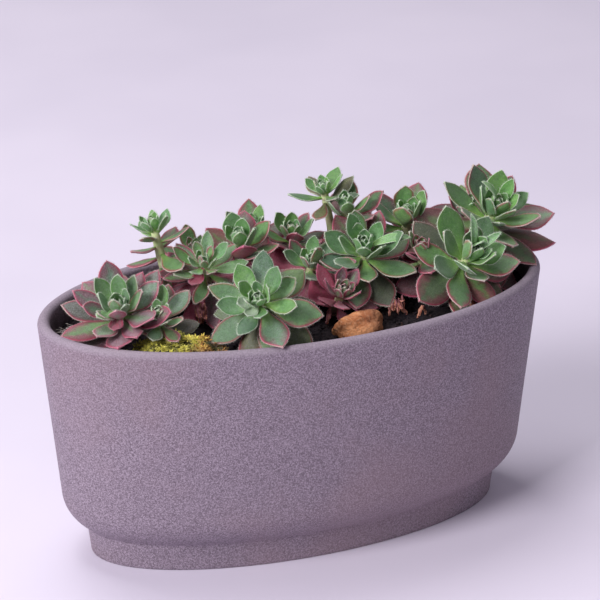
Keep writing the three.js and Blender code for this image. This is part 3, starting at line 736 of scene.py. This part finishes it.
def leaf_finish():
    mix = Finish(
        "downy_leaf", Roughness=0.45, Specular_IOR_Level=0.5, Sheen_Weight=0.28,
        Sheen_Roughness=0.4, Sheen_Tint=(0.9, 0.95, 0.88, 1), Subsurface_Weight=0.1,
        Subsurface_Radius=(0.9, 1.0, 0.4), Subsurface_Scale=0.0014)
    (side, along, half), (age, blush, bloom) = mix.traits("place"), mix.traits("kind")
    under, shade = mix.trait("under"), mix.trait("shade")
    across = mix.reckon("ABSOLUTE", side)
    inward = mix.reckon("SUBTRACT", 1.0, across)
    rim = mix.times(inward, half)
    blade = mix.spread(along, 0.1, 0.34)
    blotch, felt = mix.speckle(190, 3, 0.6), mix.speckle(1700, 2, 0.7)
    fibre = mix.speckle(620, 3, 0.7)
    # green, greyer and browner with age, and fresh yellow-green at the foot of the blade
    young = mix.tint(shade, (0.17, 0.39, 0.065), (0.115, 0.29, 0.09))
    ripe = mix.tint(shade, (0.09, 0.225, 0.044), (0.05, 0.125, 0.058))
    old = mix.tint(shade, (0.115, 0.1, 0.036), (0.075, 0.05, 0.034))
    colour = mix.wash(young, ripe, age, 0.0, 0.55)
    colour = mix.wash(colour, old, age, 0.7, 1.15, 0, 0.9)
    colour = mix.wash(colour, (0.13, 0.29, 0.09), blotch, 0.35, 0.7, 0, 0.5, way="SOFT_LIGHT")
    base = mix.times(mix.spread(along, 0.55, 0.05, 0, 0.8), mix.spread(age, 1.1, 0.5))
    colour = mix.tint(base, colour, (0.25, 0.5, 0.06))
    # maroon, from the margin, the tip and beneath
    reach = mix.times(inward, -0.92, mix.times(blush, 2.15, -0.5))
    reach = mix.times(mix.reckon("SUBTRACT", 1.0, along), -0.75, reach)
    reach = mix.times(under, 0.4, reach)
    reach = mix.times(mix.reckon("SUBTRACT", blotch, 0.5), 1.5, reach)
    wine = mix.tint(shade, (0.175, 0.022, 0.06), (0.1, 0.026, 0.04))
    russet = mix.tint(shade, (0.15, 0.052, 0.04), (0.085, 0.03, 0.032))
    pink = mix.tint(shade, (0.56, 0.058, 0.15), (0.34, 0.045, 0.1))
    rosy = mix.times(under, 0.7, mix.spread(blush, 1.0, 1.3, 0.1, 0.9))
    maroon = mix.tint(rosy, mix.wash(russet, wine, bloom, 0.3, 0.75), pink)
    colour = mix.wash(colour, maroon, reach, -0.05, 0.7, 0, 0.95)
    edged = mix.times(mix.spread(rim, 1.7, 0.15), blade)
    edged = mix.times(edged, mix.spread(blush, 0.22, 0.6, 0.0, 0.95))
    colour = mix.tint(edged, colour, (0.34, 0.024, 0.07))
    mottle = mix.wash((0.22, 0.22, 0.22), (0.86, 0.86, 0.86), fibre, 0.3, 0.7)
    colour = mix.tint(0.4, colour, mottle, "SOFT_LIGHT")
    # grey bloom, white wool, a pale fringe, the vein and a few specks
    dusty = mix.times(bloom, mix.spread(felt, 0.34, 0.74, 0.12, 0.85))
    dusty = mix.times(dusty, mix.times(under, 0.15, 0.55))
    dusty = mix.times(dusty, mix.spread(across, 1.0, 0.45, 0.25, 1))
    colour = mix.tint(dusty, colour, (0.5, 0.52, 0.56))
    woolly = mix.times(mix.spread(bloom, 1.0, 1.3, 0, 0.8), mix.spread(fibre, 0.3, 0.6, 0.6, 1))
    colour = mix.tint(woolly, colour, (0.64, 0.66, 0.6))
    fringe = mix.times(mix.spread(rim, 0.5, 0.08), blade)
    fringe = mix.times(fringe, mix.spread(felt, 0.25, 0.6, 0.2, 0.8))
    pale = mix.wash((0.66, 0.76, 0.6), (0.64, 0.2, 0.31), blush, 0.35, 0.95)
    colour = mix.tint(fringe, colour, pale)
    vein = mix.times(mix.spread(across, 0.1, 0.02, 0, 0.22), mix.spread(along, 0.85, 0.2))
    colour = mix.tint(vein, colour, (0.2, 0.33, 0.13))
    colour = mix.wash(colour, (0.055, 0.04, 0.035), mix.cells(260), 0.045, 0.085, 0.55, 0)
    mix.feed("Roughness", mix.spread(fibre, 0.3, 0.7, 0.38, 0.58))
    mix.emboss(mix.times(felt, 0.6, fibre), 0.00022, 0.8)
    return mix.coat(colour)


def heart_leaves(plant, draw):
    """The youngest leaves, too small for the frame: they go on with the spiral at the crown."""
    innermost = plant["length"] * (1 - plant["shrink"])
    for number in range(HEART_LEAVES):
        share = number / (HEART_LEAVES - 1)
        length = innermost * (HEART_LENGTH[0] + (HEART_LENGTH[1] - HEART_LENGTH[0]) * share)
        rise = plant["high"] + (HEART_RISE - plant["high"]) * share ** 1.3 + draw.uniform(-6, 6)
        yield {"turn": spiral_turn(plant, plant["leaves"] + number) + draw.uniform(-9, 9),
               "rise": rise, "length": length, "width": length * min(0.52, plant["wide"] * 1.15),
               "below": -0.11 * innermost * share, "age": 0.0}


leaf_look = leaf_finish()
skins = {}
for name, (plant, leaves) in grown.items():
    draw = random.Random(plant["seed"])
    odd = [leaf | {"curl": radians(leaf["curl"]), "age": 0.0}
           for owner, leaf in rows_of(ODD_LEAVES) if owner == name]
    parts, skins[name] = [], []
    for leaf in leaves + list(heart_leaves(plant, draw)) + odd:
        age = min(1.0, leaf["age"])
        ripened = min(1, max(0, (age - 0.15) / 0.6))
        ripened *= ripened * (3 - 2 * ripened)
        blush = plant["young"] + (plant["old"] - plant["young"]) * ripened
        blush = min(1.3, max(0.0, blush + 0.3 * draw.uniform(-1, 1)))
        bloom = min(1.0, max(0.0, plant["bloom"] * draw.uniform(0.5, 1.2) + 0.25 * (1 - age) ** 2))
        blush, bloom = leaf.get("blush", blush), leaf.get("bloom", bloom)
        part, skin = leaf_blade(plant, leaf, draw, blush, bloom)
        parts.append(part)
        skins[name].append((skin, blush, bloom))
    piece = make_piece(name + "_leaves", leaf_look, *gather(parts))
    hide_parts(name)
    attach(piece, "root")

# ------------------------ down
# Every blade is covered with short white hairs, thickest along the margin, where they catch the
# light as a pale line. They are stiff, finely pointed and pink on the leaves that blush.

MARGIN_HAIRS = 3.2  # to a millimetre of each margin
FACE_HAIRS = 0.34  # to a square millimetre
MARGIN_HAIR_LENGTH, FACE_HAIR_LENGTH = (0.5, 1.25), (0.3, 0.6)
HAIR_HALF = 0.058
WOOL_BLOOM, WOOL = 1.1, 3.0  # from this much bloom on, so many more hairs on the faces


def down_finish():
    mix = Finish("leaf_down", Roughness=0.6, Specular_IOR_Level=0.4, Sheen_Weight=0.2)
    pinkness, climb, _ = mix.traits("hair")
    patch = mix.speckle(500, 2)
    white = mix.wash((0.56, 0.66, 0.52), (0.78, 0.83, 0.76), patch, 0.35, 0.7)
    rosy = mix.wash((0.5, 0.16, 0.25), (0.72, 0.38, 0.46), patch, 0.35, 0.7)
    colour = mix.tint(pinkness, white, rosy)
    return mix.coat(mix.wash(colour, (0.25, 0.3, 0.2), climb, 0.0, 1.0, 0.25, 0.0))


def between(grid, ring, step):
    """A place on a blade's skin, between its rings and its steps round them."""
    low, left = int(ring), int(step)
    up, right = ring - low, step - left
    beside = (left + 1) % grid.shape[1]
    near = grid[low, left] * (1 - right) + grid[low, beside] * right
    far = grid[low + 1, left] * (1 - right) + grid[low + 1, beside] * right
    return near * (1 - up) + far * up


def blade_hairs(skin, blush, bloom, scatter):
    """Root, tip and pinkness of every hair on a blade."""
    points, face_way, side_way, half = skin
    rings, around = points.shape[:2]
    middle = points.mean(1)
    length = norm(np.diff(middle, axis=0), axis=1).sum()
    onward = unit(np.gradient(middle, axis=0))
    hairs = []
    for _ in range(int(MARGIN_HAIRS * 2 * length)):
        ring = scatter.uniform(1.5, rings - 1.001)
        side = 1 if scatter.random() < 0.5 else -1
        step = (0 if side > 0 else around / 2) + scatter.normal(0, 0.35)
        root, row = between(points, ring, step % around), int(ring)
        way = side_way[row, 0] * side + face_way[row, 0] * scatter.normal(0.15, 0.4)
        way = way + onward[row] * scatter.normal(0.35, 0.35)
        hairs.append((root, way, scatter.uniform(*MARGIN_HAIR_LENGTH)))
    area = 4 * length * half.mean()
    for _ in range(int(FACE_HAIRS * area * (0.6 + 0.8 * bloom + WOOL * (bloom > WOOL_BLOOM)))):
        ring, step = scatter.uniform(0.5, rings - 1.001), scatter.uniform(0, around)
        turn = 2 * pi * step / around
        root, row = between(points, ring, step), int(ring)
        way = face_way[row, 0] * (1 if sin(turn) >= 0 else -1)
        way = way + side_way[row, 0] * (0.7 * cos(turn) + scatter.normal(0, 0.3))
        way = way + onward[row] * scatter.normal(0.45, 0.3)
        hairs.append((root, way, scatter.uniform(*FACE_HAIR_LENGTH)))
    roots, ways, lengths = (np.array(part) for part in zip(*hairs))
    ways = unit(ways)
    pinkness = np.clip(blush * 1.3 - 0.45 + scatter.normal(0, 0.12, len(roots)), 0, 1)
    return roots - ways * 0.05, roots + ways * lengths[:, None], pinkness


def hair_bodies(roots, tips, pinkness):
    """A slim closed spike of three sides for every hair."""
    ways = tips - roots
    side = unit(np.cross(ways, [0.31, 0.52, 0.79]))
    across = unit(np.cross(ways, side))
    corners = [roots + (side * cos(turn) + across * sin(turn)) * HAIR_HALF
               for turn in (0, 2.094, 4.189)]
    points = np.stack(corners + [tips], 1).reshape(-1, 3)
    first = np.arange(len(roots))[:, None] * 4
    sides = [first + np.array(face) for face in ((0, 2, 1), (0, 1, 3), (1, 2, 3), (2, 0, 3))]
    traits = np.zeros((len(roots), 4, 3))
    traits[:, :, 0] = pinkness[:, None]
    traits[:, 3, 1] = 1
    return points, np.stack(sides, 1).reshape(-1, 3).tolist(), {"hair": traits.reshape(-1, 3)}


down_look = down_finish()
for name, blades in skins.items():
    scatter = np.random.default_rng(grown[name][0]["seed"])
    hairs = [blade_hairs(*blade, scatter) for blade in blades]
    down = make_piece(name + "_down", down_look,
                      *hair_bodies(*(np.concatenate(part) for part in zip(*hairs))))
    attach(down, "root")

# ------------------------ stems
# Soft fleshy stems, pale green where they are young and brown with age at the foot, ringed by
# the scars of fallen leaves. They bend upright as they go down and root in the soil.

STEM_AROUND = 16
STEM_RADIUS = (2.7, 2.2)  # at the foot and at the growing point
TALL_CROWN = 181  # millimetres up, over which a stem is young and green to its foot
OLD_GREEN, YOUNG_GREEN = 0.15, 1.15


def stem_finish():
    mix = Finish("fleshy_stem", Roughness=0.6, Specular_IOR_Level=0.3, Sheen_Weight=0.2,
                 Subsurface_Weight=0.1, Subsurface_Radius=(0.9, 1.0, 0.4), Subsurface_Scale=0.0015)
    climb, green, scar = mix.traits("stem")
    blotch, fine = mix.speckle(260, 3), mix.speckle(1300, 2)
    fresh = mix.wash((0.56, 0.7, 0.32), (0.72, 0.8, 0.45), blotch, 0.35, 0.7)
    woody = mix.wash((0.09, 0.05, 0.045), (0.23, 0.13, 0.11), blotch, 0.35, 0.7)
    aged = mix.times(climb, -1.0, mix.times(blotch, 0.5, 0.75))
    colour = mix.wash(fresh, woody, mix.reckon("SUBTRACT", aged, green), -0.1, 0.4)
    colour = mix.tint(mix.times(scar, 0.6), colour, (0.3, 0.17, 0.14))
    colour = mix.wash(colour, (0.5, 0.54, 0.4), fine, 0.5, 0.8, 0, 0.35)
    mix.emboss(mix.reckon("ADD", fine, blotch), 0.0003)
    return mix.coat(colour)


def stem_bends(plant):
    """Where a stem comes out of its leaves, and where it turns down into the soil."""
    up = plant["axes"][0]
    under_leaves = plant["crown"] - up * (leafy_length(plant) + 1)
    return under_leaves, under_leaves - up * (under_leaves[2] - SOIL_TOP) * STEM_FALL / up[2]


def stem_body(plant):
    """The stem from under the soil to its growing point, with a swelling at every leaf scar."""
    up, crown = plant["axes"][0], plant["crown"]
    under_leaves, bend = stem_bends(plant)
    entry = np.array([bend[0], bend[1], SOIL_TOP + 1])
    leafy = norm(crown - under_leaves)
    route = [entry - [0, 0, 12], entry - [0, 0, 4]]
    route += [arc(entry, bend, under_leaves, share) for share in np.linspace(0, 1, 12)]
    route += [under_leaves + up * leafy * share for share in np.linspace(0, 1, 14)[1:]]
    route = np.array(route)
    steps = norm(np.diff(route, axis=0), axis=1)
    climb = np.concatenate([[0], np.cumsum(steps)]) / steps.sum()
    green = YOUNG_GREEN if plant["z"] > TALL_CROWN else OLD_GREEN
    swell = max(2.2, 0.11 * plant["length"]) - 2.2
    rings, traits = [], [(0, green, 0)]
    side = np.array([1.0, 0, 0])
    for number, (point, share) in enumerate(zip(route, climb)):
        way = unit(route[min(number + 1, len(route) - 1)] - route[max(number - 1, 0)])
        side = unit(side - way * np.dot(side, way))
        across = np.cross(way, side)
        above = max(0.0, np.dot(point - under_leaves, up))
        radius = STEM_RADIUS[0] + (STEM_RADIUS[1] - STEM_RADIUS[0]) * share
        radius += swell * sin(pi * min(1, above / max(leafy, 1)))
        scar = 0.5 + 0.5 * sin(norm(point - crown) * 2.1)
        ring = []
        for turn in once_round(STEM_AROUND):
            lump = noise.noise(Vector(point * 0.4) + Vector((cos(turn), sin(turn), 0)))
            reach = radius * (0.97 + 0.07 * lump + 0.06 * scar)
            ring.append(point + (side * cos(turn) + across * sin(turn)) * reach)
        rings.append(np.array(ring))
        traits += [(share, green, scar)] * STEM_AROUND
    points, faces = loft(rings, route[0], crown + up * 1.6)
    return points, faces, {"stem": np.array(traits + [(1, green, 0)])}


stem_look = stem_finish()
for name, (plant, _) in grown.items():
    stem = make_piece(name + "_stem", stem_look, *stem_body(plant))
    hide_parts(name)
    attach(stem, "root")

# ------------------------ withered leaves
# The oldest leaves dry up and hang at the foot of the rosettes or drop on the soil. They are
# thin, brown to tan and crumpled, with painted light on the ridges of their creases and
# painted shade in the furrows.

SCRAP_HEAPS = """
x y z count apart compass slope length tan
under_middle_right 52 -23 142 9 3.5 255 -40 9 .65
by_the_pebble 66 -30 139 2 2 265 -30 8 1
under_front_right 96 -33 142 5 3 270 -40 10 1
under_middle_left -60 -6 149 8 3 245 -65 11 .35
behind_front -47 -22 144 3 4 240 -45 12 .5
under_middle 10 -14 142 3 5 265 -35 12 .4
left_end -114 -8 141 3 5 205 -15 9 .9
front_left -98 -36 138 3 3 200 -10 8 1
"""
SCRAPS_A_PLANT = 4
SCRAP_RINGS, SCRAP_AROUND = 26, 32


def withered_finish():
    mix = Finish("withered_leaf", Roughness=0.75, Specular_IOR_Level=0.25)
    blotch, streak = mix.speckle(330, 4, 0.65), mix.speckle(1100, 2)
    dark = mix.wash((0.13, 0.034, 0.05), (0.42, 0.16, 0.19), blotch, 0.35, 0.68)
    pale = mix.wash((0.23, 0.07, 0.045), (0.68, 0.32, 0.21), blotch, 0.35, 0.68)
    colour = mix.wash(dark, pale, mix.trait("tan"), 0.15, 0.85)
    colour = mix.wash(colour, (0.7, 0.46, 0.38), streak, 0.5, 0.8, 0, 0.35)
    mix.emboss(mix.reckon("ADD", blotch, streak), 0.0004)
    return mix.coat(colour)


def scrap(start, compass, slope, length, tan, seed):
    """A dry blade: thin, folded along its middle, curled and creased."""
    compass, slope = radians(compass), radians(slope)
    draw = random.Random(seed)
    point = np.array(start, float)
    bend, sway, fold = draw.uniform(-1.5, 1.5), draw.uniform(-0.9, 0.9), draw.uniform(0.1, 0.8)
    wide = draw.uniform(0.1, 0.18)
    rings, tan_and_painted_creases = [], []
    for share in np.linspace(0, 1, SCRAP_RINGS):
        dip, swing = slope + bend * share, compass + sway * share
        way = np.array([cos(dip) * cos(swing), cos(dip) * sin(swing), sin(dip)])
        side = np.array([-sin(swing), cos(swing), 0.0])
        face = np.cross(side, way)
        half = length * wide * sin(pi * (0.08 + 0.88 * share)) ** 0.7
        ring = []
        for angle in once_round(SCRAP_AROUND):
            torn = rough(share * 6, copysign(1, cos(angle)), seed)
            x, z = half * cos(angle) * (1 + 0.5 * torn), 0.22 * sin(angle)
            wrinkle = sin(x * 3.4 + 3 * rough(0, share * 2, seed + 9))
            # painted light and shade: paler along the ridges of the creases and darker in the furrows,
            # besides a real fade from a darker foot to a paler tip
            tan_and_painted_creases.append(0.45 * wrinkle + 0.55 * (share - 0.5))
            z += fold * abs(x) + 0.9 * rough(x * 0.4, share * 4, seed)
            z += 0.28 * wrinkle + 0.25 * rough(x * 1.3, share * 12, seed + 5)
            ring.append(point + side * x + face * z)
        rings.append(np.array(ring))
        point = point + way * length / (SCRAP_RINGS - 1)
    points, faces = loft(rings, rings[0].mean(0), rings[-1].mean(0))
    tan_and_painted_creases = np.clip(tan + np.array([tan_and_painted_creases[0]] + tan_and_painted_creases + [tan_and_painted_creases[-1]]), 0, 1)
    return points, faces, {"tan": tan_and_painted_creases}


draw = random.Random(67)
scraps = []
for _, heap in rows_of(SCRAP_HEAPS):
    for _ in range(heap["count"]):
        spot = np.array([heap["x"], heap["y"], heap["z"]], float)
        spot += [draw.gauss(0, heap["apart"]), draw.gauss(0, heap["apart"] / 2), draw.gauss(0, 1)]
        scraps.append(scrap(spot, heap["compass"] + draw.gauss(0, 28),
                            heap["slope"] + draw.gauss(0, 12),
                            heap["length"] * draw.uniform(0.7, 1.25),
                            heap["tan"] + draw.gauss(0, 0.2), len(scraps) + 1))
for number, (name, (plant, _)) in enumerate(grown.items()):
    if not name.startswith("rosette"):
        continue
    foot = stem_bends(plant)[1]
    for turn in range(SCRAPS_A_PLANT):
        compass = draw.uniform(0, 360)
        way = np.array([cos(radians(compass)), sin(radians(compass)), 0])
        start = foot * [1, 1, 0] + way * 3.2 + [0, 0, SOIL_TOP + draw.uniform(5, 9)]
        scraps.append(scrap(start, compass, draw.uniform(-50, -15), draw.uniform(9, 14),
                            draw.random() ** 2, 100 + number * SCRAPS_A_PLANT + turn))
withered = make_piece("withered_leaves", withered_finish(), *gather(scraps))
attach(withered, "root")

# ------------------------ root threads
# Fine dead roots that creep from the left plants to the bare end of the pot and a little way up
# its wall. They are pale threads with the finish of the down.

THREADS = 26
THREADS_FROM = (-110, 1)
THREAD_RADIUS = 0.2
THREAD_HUE = (0.35, 1, 0)  # a little pink, and nothing of a hair's green foot

draw = random.Random(15)
fibres = []
for number in range(THREADS):
    angle = radians(draw.uniform(150, 186))
    wall = np.array([(POT_HALF_LENGTH - 9) * cos(angle), (POT_HALF_WIDTH - 9) * sin(angle), 0])
    start = np.array([THREADS_FROM[0] + draw.gauss(0, 4), THREADS_FROM[1] + draw.gauss(0, 6), 0])
    end = start + (wall - start) * draw.uniform(0.7, 0.98)
    lift, sway = draw.uniform(0.5, 8.0), draw.uniform(-4, 4)
    rings = []
    for share in np.linspace(0, 1, 22):
        spot = start + (end - start) * share + [0, sway * sin(pi * share), 0]
        spot[0] += 0.8 * rough(share * 5, number, 0)
        spot[2] = soil_height(spot[0], spot[1]) + 0.9 + lift * share ** 1.5
        rings.append(np.array([spot + np.array([0, cos(turn), sin(turn)])
                               * (THREAD_RADIUS * (1 - 0.5 * share))
                               for turn in once_round(5)]))
    fibres.append((*loft(rings[::-1], rings[-1].mean(0), rings[0].mean(0)), {"hair": THREAD_HUE}))
threads = make_piece("root_threads", down_look, *gather(fibres))
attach(threads, "root")

# ------------------------ studio
# A plain pale floor under soft lamps: a broad one high on the left, a weaker one on the right
# and one overhead. None of it belongs to the planter.


def studio_floor():
    mix = Finish("pale_floor", Roughness=0.7, Specular_IOR_Level=0.3)
    return mix.coat(mix.wash((0.7, 0.655, 0.765), (0.76, 0.71, 0.82), mix.speckle(3, 3), 0.3, 0.7))


floor_points = [(-6000, -6000, 0), (6000, -6000, 0), (6000, 6000, 0), (-6000, 6000, 0)]
floor = make_piece("floor", studio_floor(), floor_points, [(0, 1, 2, 3)])

for name, place, size, power, hue in (
    ("lamp_left", (-1.7, -0.75, 1.35), 0.9, 46, (1.0, 0.965, 1.0)),
    ("lamp_right", (1.9, -1.2, 1.1), 1.6, 1, (1.0, 0.95, 1.0)),
    ("lamp_over", (-0.3, 0.6, 2.1), 1.1, 24, (1.0, 0.98, 1.0)),
):
    lamp = bpy.data.objects.new(name, bpy.data.lights.new(name, "AREA"))
    lamp.data.size, lamp.data.energy, lamp.data.color = size, power, hue
    lamp.location = place
    aim = Vector((0, 0, 0.09)) - Vector(place)
    lamp.rotation_euler = aim.to_track_quat("-Z", "Y").to_euler()
    scene.collection.objects.link(lamp)

world = bpy.data.worlds.new("soft_room")
world.use_nodes = True
backdrop = world.node_tree.nodes["Background"].inputs
backdrop["Color"].default_value = (0.93, 0.89, 1.0, 1)
backdrop["Strength"].default_value = 0.3
scene.world = world
scene.view_settings.view_transform = "Standard"
